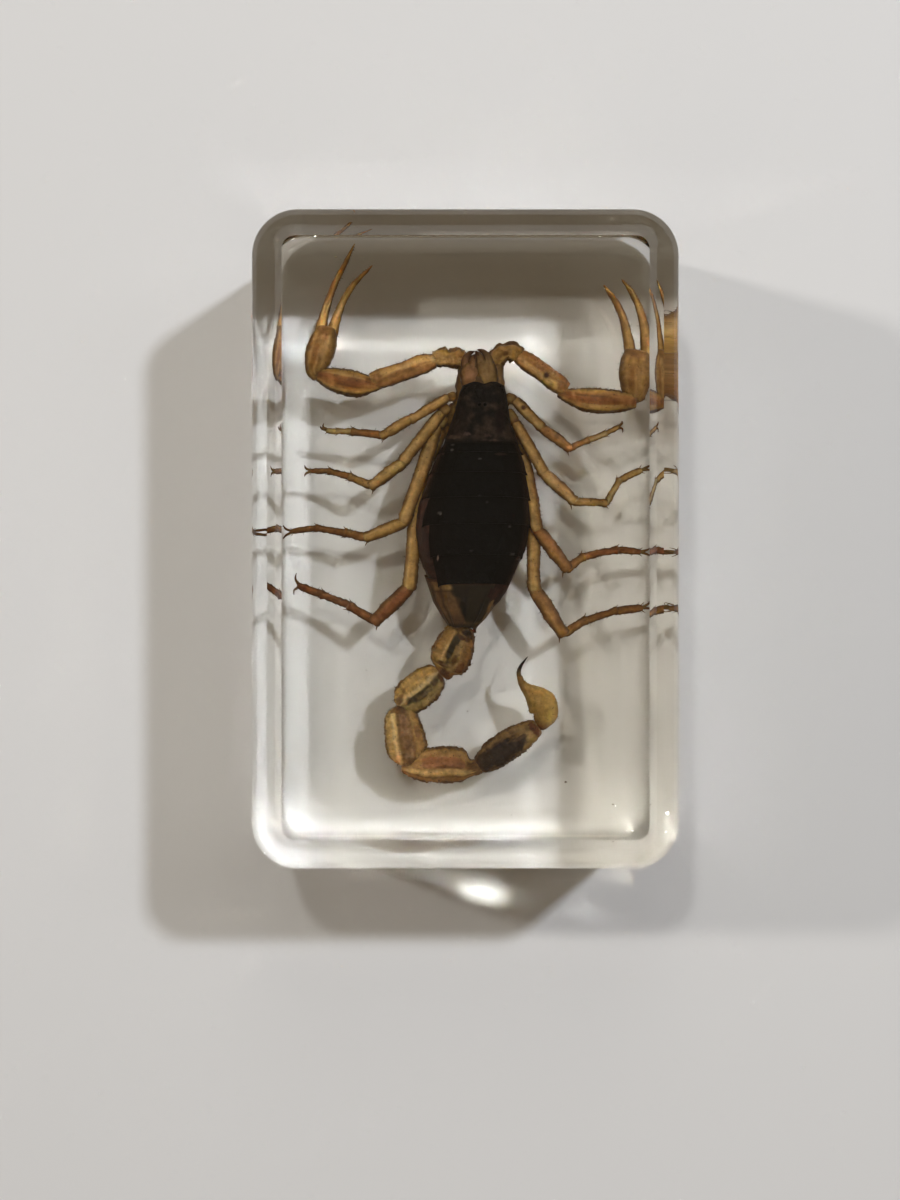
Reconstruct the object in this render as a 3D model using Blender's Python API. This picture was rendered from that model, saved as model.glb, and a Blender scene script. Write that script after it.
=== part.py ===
"""Clear cast resin block, modelled in metres with +Z up.

The block lies on its ground base. +Y runs along its longest side and +X across it.
The origin is on the base, under the middle of the block.
"""
import math

import bmesh
import bpy

WIDTH = 0.0420              # across X
LENGTH = 0.0648             # along Y
THICKNESS = 0.0200          # along Z
CORNER_RADIUS = 0.0046      # upright corners, seen from above
CORNER_STEPS = 14           # segments in each upright corner

FACE_INSET = 0.00330        # from the side wall to the polished top face
STEP_INSET = 0.00172        # from the side wall to the foot of the bevel round that face
BEVEL_SLOPES = (46, 43, 41, 38)         # degrees from level, from the top face outwards
SHOULDER_SLOPES = (27, 30, 34, 39, 45)  # degrees from level, from the bevel's foot outwards
LIP_INSET = 0.00025         # where the shoulder turns over into the side wall
LIP_SLOPES = (57, 71, 83)

BASE_RADIUS = 0.0026        # moulded edge round the base
BASE_INSET = 0.00220        # how far in the base was ground flat
BASE_STEPS = 6
SHARP_EDGE = math.radians(9)  # the bevel's two borders and the base's border stay crisp


def clear_scene():
    for thing in list(bpy.data.objects):
        bpy.data.objects.remove(thing, do_unlink=True)


def slope_run(inset, z, end_inset, slopes):
    """Points of equal horizontal steps outwards, each falling at the next slope."""
    step = (inset - end_inset) / len(slopes)
    points = []
    for slope in slopes:
        inset -= step
        z -= step * math.tan(math.radians(slope))
        points.append((inset, z))
    return points


def section():
    """(inset, z) pairs down the edge of the block, from the top face to the base."""
    points = [(FACE_INSET, THICKNESS)]
    points += slope_run(*points[-1], STEP_INSET, BEVEL_SLOPES)
    points += slope_run(*points[-1], LIP_INSET, SHOULDER_SLOPES)
    points += slope_run(*points[-1], 0.0, LIP_SLOPES)
    cut = math.acos(1 - BASE_INSET / BASE_RADIUS)
    floor_drop = BASE_RADIUS * math.sin(cut)
    for i in range(BASE_STEPS + 1):
        angle = cut * i / BASE_STEPS
        inset = BASE_RADIUS * (1 - math.cos(angle))
        points.append((inset, floor_drop - BASE_RADIUS * math.sin(angle)))
    return points


def outline(inset, z):
    """Rounded rectangle, anticlockwise from above, moved in from the side wall by inset."""
    radius = CORNER_RADIUS - inset
    centre_x = WIDTH / 2 - CORNER_RADIUS
    centre_y = LENGTH / 2 - CORNER_RADIUS
    points = []
    for quarter, (side_x, side_y) in enumerate(((1, 1), (-1, 1), (-1, -1), (1, -1))):
        for i in range(CORNER_STEPS + 1):
            angle = math.radians(90) * (quarter + i / CORNER_STEPS)
            x = side_x * centre_x + radius * math.cos(angle)
            y = side_y * centre_y + radius * math.sin(angle)
            points.append((x, y, z))
    return points


def resin_material():
    material = bpy.data.materials.new("clear_resin")
    material.use_nodes = True
    shader = material.node_tree.nodes["Principled BSDF"]
    shader.inputs["Base Color"].default_value = (0.93, 0.93, 0.88, 1)
    shader.inputs["Metallic"].default_value = 0.0
    shader.inputs["Roughness"].default_value = 0.02
    shader.inputs["IOR"].default_value = 1.55
    shader.inputs["Transmission Weight"].default_value = 1.0
    return material


def make_block():
    """Skin the section round the outline, then close it with the two flat faces."""
    bm = bmesh.new()
    rings = [[bm.verts.new(point) for point in outline(inset, z)] for inset, z in section()]
    for upper, lower in zip(rings, rings[1:]):
        for i, vert in enumerate(upper):
            after = (i + 1) % len(upper)
            bm.faces.new((vert, lower[i], lower[after], upper[after]))
    bm.faces.new(rings[0])
    bm.faces.new(reversed(rings[-1]))
    bmesh.ops.recalc_face_normals(bm, faces=bm.faces)
    mesh = bpy.data.meshes.new("resin_block")
    bm.to_mesh(mesh)
    bm.free()
    mesh.shade_smooth()
    mesh.set_sharp_from_angle(angle=SHARP_EDGE)
    mesh.materials.append(resin_material())
    block = bpy.data.objects.new("resin_block", mesh)
    bpy.context.scene.collection.objects.link(block)
    return block


clear_scene()
make_block()
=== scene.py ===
import math

import bmesh
import bpy
import numpy as np
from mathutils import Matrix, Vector, noise


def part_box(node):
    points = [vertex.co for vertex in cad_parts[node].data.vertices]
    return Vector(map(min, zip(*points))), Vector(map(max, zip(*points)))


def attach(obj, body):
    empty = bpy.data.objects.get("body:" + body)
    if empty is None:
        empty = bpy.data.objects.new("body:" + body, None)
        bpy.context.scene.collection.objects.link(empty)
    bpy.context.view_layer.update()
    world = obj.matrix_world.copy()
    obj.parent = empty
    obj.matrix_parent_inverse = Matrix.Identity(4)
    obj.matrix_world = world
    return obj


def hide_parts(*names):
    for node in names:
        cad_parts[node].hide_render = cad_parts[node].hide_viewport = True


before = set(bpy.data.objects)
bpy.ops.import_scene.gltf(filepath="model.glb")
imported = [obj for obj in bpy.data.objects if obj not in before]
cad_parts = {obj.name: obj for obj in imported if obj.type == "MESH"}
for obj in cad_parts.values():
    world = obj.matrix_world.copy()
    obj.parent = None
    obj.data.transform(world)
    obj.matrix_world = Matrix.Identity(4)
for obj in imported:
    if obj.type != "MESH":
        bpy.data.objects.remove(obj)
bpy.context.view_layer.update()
mm = 0.001
lowCorner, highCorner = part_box("resin_block")
blockSize = [high - low for low, high in zip(lowCorner, highCorner)]
floorGap = 0.15 * mm  # the block rests on a few high spots, so air stays under most of its base


def hexColour(code):
    # sRGB hex to the linear values that the nodes take
    channels = [int(code[i:i + 2], 16) / 255 for i in (1, 3, 5)]
    linear = [c / 12.92 if c <= 0.04045 else ((c + 0.055) / 1.055) ** 2.4 for c in channels]
    return (*linear, 1.0)


def addNode(tree, kind, inputs=None, ramp=None, **settings):
    # a (node, output) pair is linked to its socket, anything else is set on it
    node = tree.nodes.new(kind)
    for name, value in settings.items():
        setattr(node, name, value)
    for socket, value in (inputs or {}).items():
        if isinstance(value, tuple) and isinstance(value[0], bpy.types.Node):
            tree.links.new(value[0].outputs[value[1]], node.inputs[socket])
        else:
            node.inputs[socket].default_value = value
    if ramp:
        stops = node.color_ramp.elements
        while len(stops) < len(ramp):
            stops.new(0.5)
        for stop, (place, code) in zip(stops, ramp):
            stop.position = place
            stop.color = hexColour(code)
    return node


def hexVector(code):
    return Vector(hexColour(code)[:3])


def newMaterial(name):
    material = bpy.data.materials.new(name)
    material.use_nodes = True
    tree = material.node_tree
    tree.nodes.clear()
    return material, tree


def placeObject(name, data):
    thing = bpy.data.objects.new(name, data)
    bpy.context.scene.collection.objects.link(thing)
    return thing


def sealPiece(name, mesh):
    # all that lies in the resin is dried animal and goes with the block
    piece = placeObject(name, mesh)
    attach(piece, "root")


def faceOutwards(mesh):
    bm = bmesh.new()
    bm.from_mesh(mesh)
    bmesh.ops.recalc_face_normals(bm, faces=bm.faces)
    bm.to_mesh(mesh)
    bm.free()


def ease(value):
    # 0 to 1 with a soft start and end
    value = min(1.0, max(0.0, value))
    return value * value * (3 - 2 * value)


def readRow(rows, key, y, columns):
    # some columns at y, between the rows of a table that runs from front to tail with y in column key
    ys = [-row[key] for row in rows]
    return [float(np.interp(-y, ys, [row[k] for row in rows])) for k in columns]


resin = {
    "faceInset": 3.30, "stepInset": 1.72, "lipInset": 0.25,  # mm in from the side wall
    "bevelSlope": (46, 38), "shoulderSlope": (27, 46), "lipSlope": (52, 87),  # degrees from level
    "bevelSteps": 5, "shoulderSteps": 8, "lipSteps": 6,
    "cornerRadius": 4.6, "cornerSteps": 28,
    "baseRadius": 2.6, "baseInset": 2.2, "baseSteps": 12,
    "sharpFrom": 9.5,  # degrees: the bevel's borders and the ground base's border stay crisp
    "index": 1.55, "tint": "#f2ecd2", "density": 9.0,
    "waveSize": 100 / 9, "waveDepth": 0.4, "waveStrength": 0.05,  # mm, mm, share of the depth that shows
}


def resinMaterial():
    # cast polyester resin, buffed: water clear, a breath of straw in its depth, faint buffing waves
    material, tree = newMaterial("castPolyesterResin")
    place = addNode(tree, "ShaderNodeTexCoord")
    waves = addNode(tree, "ShaderNodeTexNoise",
                    {"Vector": (place, "Object"), "Scale": 1 / (resin["waveSize"] * mm), "Detail": 1.0})
    ripple = addNode(tree, "ShaderNodeBump",
                     {"Height": (waves, "Fac"), "Strength": resin["waveStrength"],
                      "Distance": resin["waveDepth"] * mm})
    shader = addNode(tree, "ShaderNodeBsdfPrincipled",
                     {"Base Color": (1, 1, 1, 1), "Roughness": 0.0, "IOR": resin["index"],
                      "Transmission Weight": 1.0, "Normal": (ripple, "Normal")})
    depth = addNode(tree, "ShaderNodeVolumeAbsorption",
                    {"Color": hexColour(resin["tint"]), "Density": resin["density"]})
    addNode(tree, "ShaderNodeOutputMaterial", {"Surface": (shader, "BSDF"), "Volume": (depth, "Volume")})
    return material


def slopeRun(inset, z, endInset, slopes, steps):
    # equal steps outwards, falling at a slope that turns evenly from the first value to the last
    points = []
    step = (inset - endInset) / steps
    for i in range(steps):
        slope = slopes[0] + (slopes[1] - slopes[0]) * i / (steps - 1)
        inset -= step
        z -= step * math.tan(math.radians(slope))
        points.append((inset, z))
    return points


def blockSection():
    # (inset, height) in mm from the top face, over bevel and shoulder, down the wall and under to the base
    points = [(resin["faceInset"], blockSize[2] / mm)]
    for name, end in (("bevel", resin["stepInset"]), ("shoulder", resin["lipInset"]), ("lip", 0.0)):
        points += slopeRun(*points[-1], end, resin[name + "Slope"], resin[name + "Steps"])
    radius = resin["baseRadius"]
    cut = math.acos(1 - resin["baseInset"] / radius)
    for i in range(resin["baseSteps"] + 1):
        angle = cut * i / resin["baseSteps"]
        points.append((radius * (1 - math.cos(angle)), radius * (math.sin(cut) - math.sin(angle))))
    return points


def makeBlock():
    centre = [(low + high) / 2 for low, high in zip(lowCorner, highCorner)]
    radius = resin["cornerRadius"]
    bm = bmesh.new()
    rings = []
    for inset, z in blockSection():
        ring = []
        for quarter, (sx, sy) in enumerate(((1, 1), (-1, 1), (-1, -1), (1, -1))):
            for i in range(resin["cornerSteps"] + 1):
                angle = math.pi / 2 * (quarter + i / resin["cornerSteps"])
                reach = (radius - inset) * mm
                x = centre[0] + sx * (blockSize[0] / 2 - radius * mm) + reach * math.cos(angle)
                y = centre[1] + sy * (blockSize[1] / 2 - radius * mm) + reach * math.sin(angle)
                ring.append(bm.verts.new((x, y, lowCorner[2] + z * mm)))
        rings.append(ring)
    for upper, lower in zip(rings, rings[1:]):
        for i, vert in enumerate(upper):
            after = (i + 1) % len(upper)
            bm.faces.new((vert, lower[i], lower[after], upper[after]))
    bm.faces.new(rings[0])
    bm.faces.new(reversed(rings[-1]))
    bmesh.ops.recalc_face_normals(bm, faces=bm.faces)
    mesh = bpy.data.meshes.new("resin_shell")
    bm.to_mesh(mesh)
    bm.free()
    mesh.shade_smooth()
    mesh.set_sharp_from_angle(angle=math.radians(resin["sharpFrom"]))
    mesh.materials.append(resinMaterial())
    block = placeObject("resin_shell", mesh)
    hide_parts("resin_block")
    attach(block, "root")
    print("resin block made")


makeBlock()

paintNames = ("tone", "ridge", "joint", "rim")  # darkness, raised keel, nearness to a joint, flank with painted shade
noHue = (0, 0, 0, 0)


class Hull:
    # points in mm, faces, and the painted values of one piece
    def __init__(self, name):
        self.name = name
        self.points, self.faces = [], []
        self.paint = {key: [] for key in paintNames}
        self.hues = []

    def add(self, point, hue=noHue, **values):
        # hue is a colour whose fourth value says how much of it shows
        self.points.append(point)
        self.hues.append(hue)
        for key in paintNames:
            self.paint[key].append(values.get(key, 0.0))
        return len(self.points) - 1

    def finish(self, material):
        mesh = bpy.data.meshes.new(self.name)
        mesh.from_pydata([tuple(c * mm for c in point) for point in self.points], [], self.faces)
        for key in paintNames:
            mesh.attributes.new(key, "FLOAT", "POINT").data.foreach_set("value", self.paint[key])
        hues = mesh.attributes.new("hue", "FLOAT_COLOR", "POINT")
        hues.data.foreach_set("color", np.array(self.hues, dtype=np.float32).ravel())
        faceOutwards(mesh)
        mesh.shade_smooth()
        mesh.materials.append(material)
        sealPiece(self.name, mesh)


hairyHulls = []  # limbs and tail pieces that carry bristles


def throughKnots(knots, t):
    # smooth curve through rows of numbers, t from 0 to 1 along the chords of the first three columns
    rows = np.array(knots, float)
    chords = np.linalg.norm(np.diff(rows[:, :3], axis=0), axis=1)
    stops = np.concatenate(([0.0], np.cumsum(chords))) / chords.sum()
    i = min(len(rows) - 2, max(0, int(np.searchsorted(stops, t, side="right")) - 1))
    slopes = np.gradient(rows, stops, axis=0) if len(rows) > 2 else np.repeat([rows[1] - rows[0]], 2, axis=0)
    span = stops[i + 1] - stops[i]
    u = (t - stops[i]) / span
    value = ((2 * u ** 3 - 3 * u ** 2 + 1) * rows[i] + (u ** 3 - 2 * u ** 2 + u) * span * slopes[i]
             + (3 * u ** 2 - 2 * u ** 3) * rows[i + 1] + (u ** 3 - u ** 2) * span * slopes[i + 1])
    value[3:] = np.maximum(value[3:], 0.0)
    return value


def loft(hull, knots, ring=20, steps=24, blunt=(0.3, 0.3), power=2.3, up=(0, 0, 1), keels=(), beads=0.0,
         grain=0.02, tone=(0.0, 0.0), jointReach=(0.35, 0.3), jointStrength=1.0, hueAt=None,
         grainScale=2.2):
    # a closed limb: knots are (x, y, z, half width, half height), keels are (degrees, height, breadth)
    rows = [throughKnots(knots, i / steps) for i in range(steps + 1)]
    centres = [Vector(row[:3]) for row in rows]
    runs = [0.0]
    for before, after in zip(centres, centres[1:]):
        runs.append(runs[-1] + (after - before).length)
    total = runs[-1]
    rings = []
    for i, (centre, row) in enumerate(zip(centres, rows)):
        ahead = (centres[min(i + 1, steps)] - centres[max(i - 1, 0)]).normalized()
        side = ahead.cross(Vector(up)).normalized()
        over = side.cross(ahead)
        run = runs[i]
        swell = 1.0
        for reach, far in ((blunt[0], run), (blunt[1], total - run)):
            if far < reach:
                swell *= math.sqrt(max(0.0, 1 - (1 - far / reach) ** 2))
        t = run / total
        fade = math.sin(math.pi * min(1, max(0, t))) ** 0.4
        near = math.exp(-(run / jointReach[0]) ** 2) + math.exp(-((total - run) / jointReach[1]) ** 2)
        shade = tone[0] + (tone[1] - tone[0]) * t
        if swell < 0.02:
            rings.append([hull.add(centre, joint=jointStrength, tone=shade, rim=0.3)])
            continue
        loop = []
        for k in range(ring):
            angle = 2 * math.pi * k / ring
            c, s = math.cos(angle), math.sin(angle)
            spread = (abs(c) ** power + abs(s) ** power) ** (-1 / power)
            c, s = c * spread, s * spread
            a, b = row[3] * swell, row[4] * swell
            across, above = c * a, s * b
            slant = [math.copysign(abs(v) ** (power - 1), v) / max(half, 0.05)
                     for v, half in ((c, a), (s, b))]
            outward = (side * slant[0] + over * slant[1]).normalized()
            raised, bump = 0.0, 0.0
            for degrees, height, breadth in keels:
                gap = (math.degrees(angle) - degrees + 180) % 360 - 180
                part = math.exp(-(gap / breadth) ** 2)
                raised = max(raised, part)
                knob = 1.0
                if beads:
                    wave = 2 * math.pi * run / beads + 2 * noise.noise(centre)
                    knob = 1 + 0.45 * part * math.cos(wave)
                bump += part * height * knob * fade * swell
            point = centre + side * across + over * above
            rough = noise.noise(point * grainScale) + 0.5 * noise.noise(point * grainScale * 2.7)
            bump += grain * swell * rough
            point = point + outward * bump
            # rim marks a limb's flanks, which the material darkens as painted shade
            loop.append(hull.add(point, tone=shade, ridge=raised * fade, joint=min(1, near) * jointStrength,
                                 rim=abs(c) ** 5, hue=hueAt(50 - 50 * c, t) if hueAt else noHue))
        rings.append(loop)
    for lower, upper in zip(rings, rings[1:]):
        if len(lower) == 1 and len(upper) == 1:
            continue
        longer = max(len(lower), len(upper))
        for k in range(longer):
            n = (k + 1) % longer
            if len(lower) == 1:
                hull.faces.append((lower[0], upper[k], upper[n]))
            elif len(upper) == 1:
                hull.faces.append((lower[k], upper[0], lower[n]))
            else:
                hull.faces.append((lower[k], upper[k], upper[n], lower[n]))
    for loop, flip in ((rings[0], False), (rings[-1], True)):
        if len(loop) > 1:
            middle = sum((hull.points[k] for k in loop), Vector()) / len(loop)
            pole = hull.add(middle, joint=jointStrength, tone=tone[1] if flip else tone[0])
            for k in range(len(loop)):
                hull.faces.append((loop[k], loop[(k + 1) % len(loop)], pole))


def spike(hull, knots, tone, ring, steps, blunt):
    # a small smooth point, thick at its first knot and thin at its last
    loft(hull, knots, ring=ring, steps=steps, blunt=blunt, grain=0, tone=tone, jointStrength=0)


def makeBands(*stops):
    # colour across a limb as it shows from above: (0 at its right edge to 100 at its left one, hex)
    # the dark ends are painted shade at both edges, the lightest stripes painted highlight
    places = [place for place, code in stops]
    colours = np.array([hexColour(code)[:3] for place, code in stops])
    table = [tuple(np.interp(k, places, colours[:, channel]) for channel in range(3)) for k in range(101)]

    def colourAt(place):
        return Vector(table[round(min(100, max(0, place)))])

    return colourAt


def streaky(bands, share=0.85, waver=6, seed=0.0, endBands=None, endFrom=0.6, patches=(), flecks=6):
    # bands that waver along the limb, with (t, reach, place, breadth, hex) patches, as a function for loft
    def hueAt(place, t):
        wander = waver * noise.noise(Vector((t * 5, place / 25, seed)))
        fleck = noise.noise(Vector((t * flecks, place / 9, seed + 4)))
        colour = bands(place + wander) * (1.07 + 0.28 * fleck)
        if endBands:
            colour = colour.lerp(endBands(place), ease((t - endFrom) * 4 + wander * 0.12))
        for centre, reach, middle, breadth, code in patches:
            gap = math.hypot((t - centre) / reach, (place - middle) / breadth) + 0.35 * fleck + 0.03 * wander
            colour = colour.lerp(hexVector(code), ease((1.25 - gap) * 1.9))
        return (*colour, share)

    return hueAt


def spotted(colour, x, y, flecks):
    # flecks are (x, y, half length across, half length along, hex), in mm, soft at the edge
    for left, low, wide, tall, code in flecks:
        gap = math.hypot((x - left) / wide, (y - low) / tall)
        if gap < 1.6:
            colour = colour.lerp(hexVector(code), ease((1.6 - gap) * 1.2))
    return colour


def stain(hull, spots):
    # dark spots: x, y, radius in mm and strength, soft at the edge
    for k, point in enumerate(hull.points):
        for x, y, radius, strength in spots:
            gap = math.hypot(point[0] - x, point[1] - y) / radius
            if gap < 1.6:
                mark = strength * ease(1.6 - gap)
                hull.paint["tone"][k] = max(hull.paint["tone"][k], mark)


def closePlate(hull, grid, under):
    # two matching grids of point numbers become one closed shell
    rows, columns = len(grid), len(grid[0])
    for i in range(rows - 1):
        for j in range(columns - 1):
            hull.faces.append((grid[i][j], grid[i][j + 1], grid[i + 1][j + 1], grid[i + 1][j]))
            hull.faces.append((under[i][j], under[i + 1][j], under[i + 1][j + 1], under[i][j + 1]))
    for i in range(rows - 1):
        hull.faces.append((grid[i][0], grid[i + 1][0], under[i + 1][0], under[i][0]))
        hull.faces.append((grid[i][-1], under[i][-1], under[i + 1][-1], grid[i + 1][-1]))
    for j in range(columns - 1):
        hull.faces.append((grid[0][j], under[0][j], under[0][j + 1], grid[0][j + 1]))
        hull.faces.append((grid[-1][j], grid[-1][j + 1], under[-1][j + 1], under[-1][j]))


def cuticle(name, look):
    # dried chitin, wetted by resin: no glint of its own, amber where thin, brown-black where thick
    material, tree = newMaterial(name)
    place = (addNode(tree, "ShaderNodeTexCoord"), "Object")
    mottle = (addNode(tree, "ShaderNodeTexNoise",
                      {"Vector": place, "Scale": 1 / (look["mottle"] * mm), "Detail": 5.0,
                       "Roughness": 0.62}), "Fac")
    cloud = (addNode(tree, "ShaderNodeTexNoise",
                     {"Vector": place, "Scale": 1 / (look["cloud"] * mm), "Detail": 2.0}), "Fac")
    spans = {  # noise from its first to its second value becomes the third to the fourth
        "cloudy": (cloud, 0.42, 0.66, 0.0, look["cloudAmount"]),
        "shading": (mottle, 0.3, 0.7, 0.62, 1.3),
        "roughness": (mottle, 0.3, 0.7, 0.38, 0.6),
    }
    span = {key: (addNode(tree, "ShaderNodeMapRange", dict(enumerate(values))), 0)
            for key, values in spans.items()}
    painted = {key: (addNode(tree, "ShaderNodeAttribute", attribute_name=key), "Fac") for key in paintNames}
    hue = addNode(tree, "ShaderNodeAttribute", attribute_name="hue")
    mottled = (addNode(tree, "ShaderNodeMix", {0: 1.0, 6: (hue, "Color"), 7: span["shading"]},
                       data_type="RGBA", blend_type="MULTIPLY"), 2)
    flat = (addNode(tree, "ShaderNodeMath", {0: 1.0, 1: painted["ridge"]}, operation="SUBTRACT"), 0)
    amounts = {key: (addNode(tree, "ShaderNodeMath", {0: share, 1: look[key + "Amount"]},
                             operation="MULTIPLY"), 0)
               for key, share in (("hollow", flat), ("rim", painted["rim"]), ("joint", painted["joint"]))}
    overlays = (  # how much of what lies over the mottled chitin, from the lowest to the topmost
        (span["cloudy"], hexColour(look["cloudColour"])),
        ((hue, "Alpha"), mottled),
        (amounts["hollow"], hexColour(look["hollow"])),
        # flanks: painted shade on limbs and tail, the back plates' own brown edge
        (amounts["rim"], hexColour(look["flankColourAndShade"])),
        (amounts["joint"], hexColour(look["jointColour"])),
        (painted["tone"], hexColour(look["dark"])),
    )
    base = (addNode(tree, "ShaderNodeValToRGB", {"Fac": mottle}, ramp=look["ramp"]), "Color")
    for share, colour in overlays:
        base = (addNode(tree, "ShaderNodeMix", {0: share, 6: base, 7: colour}, data_type="RGBA"), 2)
    pits = addNode(tree, "ShaderNodeTexVoronoi", {"Vector": place, "Scale": 1 / (look["pit"] * mm)})
    relief = addNode(tree, "ShaderNodeBump",
                     {"Height": (pits, "Distance"), "Strength": look["relief"],
                      "Distance": look["pitDepth"] * mm})
    shader = addNode(tree, "ShaderNodeBsdfPrincipled",
                     {"Base Color": base, "Roughness": span["roughness"], "IOR": look["index"],
                      "Specular IOR Level": look["gleam"], "Subsurface Weight": look["glow"],
                      "Subsurface Radius": (0.5, 0.25, 0.08), "Subsurface Scale": look["glowDepth"] * mm,
                      "Normal": (relief, "Normal")})
    addNode(tree, "ShaderNodeOutputMaterial", {"Surface": (shader, "BSDF")})
    return material


amberLook = {  # grain sizes in mm, shares and colours of the overlays
    "mottle": 0.8, "cloud": 2.6, "pit": 0.12, "pitDepth": 0.05, "relief": 0.5,
    "index": 1.56, "glow": 0.45, "glowDepth": 1.5, "gleam": 0.2,
    "ramp": [(0.30, "#7d5c2a"), (0.46, "#a07c3c"), (0.58, "#b8954f"), (0.72, "#ccae6a")],
    "cloudColour": "#85552a", "cloudAmount": 0.5,
    # the flank colour is painted shade along both sides of each limb
    "hollow": "#86602c", "hollowAmount": 0.25, "flankColourAndShade": "#553715", "rimAmount": 0.75,
    "jointColour": "#4a2a14", "jointAmount": 0.75, "dark": "#43220f",
}
tailLook = dict(
    amberLook, mottle=0.6, ramp=[(0.30, "#7d6230"), (0.50, "#94783c"), (0.70, "#ab8f4e")],
    # the flank colour is painted shade along both sides of each tail piece
    hollow="#5d4a26", hollowAmount=0.10, flankColourAndShade="#5a3c1a", rimAmount=0.3, jointColour="#583019",
    dark="#120c0a")
shieldLook = dict(
    amberLook, mottle=0.45, relief=0.8, glow=0.0, gleam=0.04,
    ramp=[(0.32, "#080808"), (0.55, "#0f0f0d"), (0.76, "#1c1916")], cloudColour="#191512", cloudAmount=0.4,
    hollow="#0b0a09", hollowAmount=0.15, flankColourAndShade="#24150e", rimAmount=0.5,
    jointColour="#0c0908", jointAmount=0.5, dark="#0b0908")
membraneLook = dict(
    amberLook, mottle=1.0, relief=0.7, glow=0.15, gleam=0.15,
    ramp=[(0.30, "#1c0f0d"), (0.52, "#331c17"), (0.72, "#4e2e22")], cloudColour="#1f0f0e", cloudAmount=0.5,
    hollowAmount=0.0, rimAmount=0.2, jointAmount=0.0)
amberCuticle = cuticle("amberCuticle", amberLook)
tailCuticle = cuticle("tailCuticle", tailLook)
shieldCuticle = cuticle("shieldCuticle", shieldLook)
membraneSkin = cuticle("membraneSkin", membraneLook)


trunk = {  # x, y, z, half width, half height in mm, from under the chelicerae to the tail
    "run": [(1.85, 15.9, 8.4, 1.5, 1.0), (1.75, 13.9, 8.3, 2.35, 1.7), (1.55, 11.5, 8.3, 2.9, 2.0),
            (1.65, 10.2, 8.2, 3.4, 2.2), (1.45, 7.9, 8.2, 4.35, 2.5), (1.15, 5.1, 8.1, 5.1, 2.8),
            (0.80, 2.1, 8.1, 5.65, 3.0), (0.65, 0.1, 8.1, 5.6, 3.0), (0.50, -1.6, 8.1, 5.15, 2.85),
            (0.40, -3.6, 8.0, 4.35, 2.55), (0.05, -6.2, 7.9, 3.1, 2.1), (-0.05, -7.8, 7.8, 2.0, 1.6),
            (-0.20, -8.9, 7.8, 1.0, 1.0)],
    "plates": (10.4, 8.9, 6.9, 4.4, 1.7, -1.4, -4.3),  # y where each back plate starts, the last ends them
    "lastPlateEnd": -8.75, "squareness": 2.3,  # as the power of a loft
    "bellyPlates": (6.4, 3.9, 1.3, -1.3, -4.0, -8.6),
    "rightEnds": (8, 8, 8, 10, 12, 16), "leftEnds": (170, 170, 164, 148, 136, 134),  # degrees round the back
    "shieldHues": ("#0a0b0a", "#2c1c14"),  # middle of the back plates, and their edge
    "flecks": [(-1.22, 9.55, 0.16, 0.08, "#4a4541"), (-1.31, 9.05, 0.14, 0.10, "#5a5450"),
               (1.50, 8.12, 0.13, 0.07, "#3c3c3c"), (-2.56, 2.72, 0.20, 0.07, "#5a544e"),
               (-2.45, 2.60, 0.10, 0.07, "#6a625a"), (2.22, 3.77, 0.13, 0.08, "#2c2a29"),
               (4.48, 1.33, 0.12, 0.10, "#3e3b39"), (4.74, -1.43, 0.20, 0.12, "#4a4744"),
               (-2.72, -1.81, 0.07, 0.20, "#a58a78"), (1.46, 4.43, 0.12, 0.07, "#2b2a2a"),
               (0.65, -1.10, 0.12, 0.08, "#2e2c2c"), (3.6, 8.6, 0.5, 0.12, "#2e221b")],
    "lastShades": {"light": "#9a7443", "panel": "#755534", "brown": "#5b412b", "line": "#46301d",
                   "right": "#4d3629", "olive": "#7a5a32", "wedge": "#0f0e0d", "end": "#35281c"},
    "lastFlecks": [(3.1, -5.5, 0.16, 0.10, "#8a6f60"), (2.75, -5.75, 0.12, 0.12, "#7a6252"),
                   (3.4, -5.2, 0.14, 0.08, "#7c6450"), (1.95, -5.9, 0.5, 0.14, "#4a3a36"),
                   (2.3, -4.95, 0.35, 0.12, "#3c3430")],
}


def trunkAt(y):
    # middle x and z, half width and half height
    return readRow(trunk["run"], 1, y, (0, 2, 3, 4))


def backPoint(y, degrees, lift):
    # a point on the trunk, 0 degrees at its right flank and 90 along its back, lifted outwards by lift mm
    x, z, a, b = trunkAt(y)
    angle = math.radians(degrees)
    c, s = math.cos(angle), math.sin(angle)
    outward = Vector((c / a, 0, s / b)).normalized()
    power = 2 / trunk["squareness"]
    across = math.copysign(abs(c) ** power, c) * a
    above = math.copysign(abs(s) ** power, s) * b
    return Vector((x, y, z)) + Vector((across, 0, above)) + outward * lift


plateShape = {  # mm, but keelBreadth in degrees
    "lift": 0.15, "thick": 0.24, "tip": 0.16, "rimRise": 0.05, "keelRise": 0.10, "keelBreadth": 3.2,
    "beadRise": 0.02, "dents": 0.05,
}


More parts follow.
